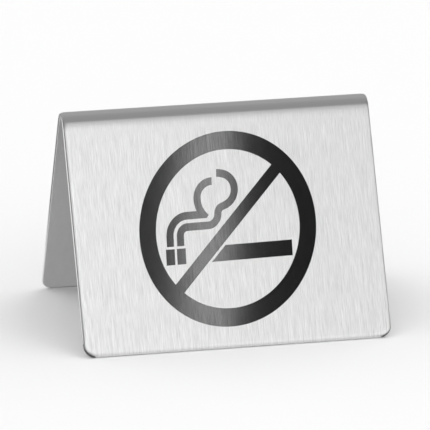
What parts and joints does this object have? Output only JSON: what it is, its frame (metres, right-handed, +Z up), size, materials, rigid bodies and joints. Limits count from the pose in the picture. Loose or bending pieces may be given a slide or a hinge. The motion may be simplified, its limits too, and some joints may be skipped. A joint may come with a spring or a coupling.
{
  "type": "no smoking table sign",
  "caption": "Small table tent sign folded from a single sheet of brushed steel, with a black no smoking ring, bar, cigarette and smoke printed on its front leg.",
  "frame": {"origin": "on the ground, under the middle of the fold, at the centre of the footprint", "axes": "+X to the right along the fold as the printed front is read, +Y from the printed front leg to the plain rear leg, +Z up"},
  "size_m": [0.055, 0.0416, 0.0387],
  "materials": {
    "brushed_sheet": "satin, brushed up and down the legs outside, smooth inside",
    "black_enamel": "gloss black print"
  },
  "bodies": {
    "root": {"folded_sheet": "brushed_sheet", "printed_ring_and_bar": "black_enamel", "printed_cigarette": "black_enamel", "printed_tip": "black_enamel", "printed_smoke": "black_enamel"}
  },
  "joints": []
}
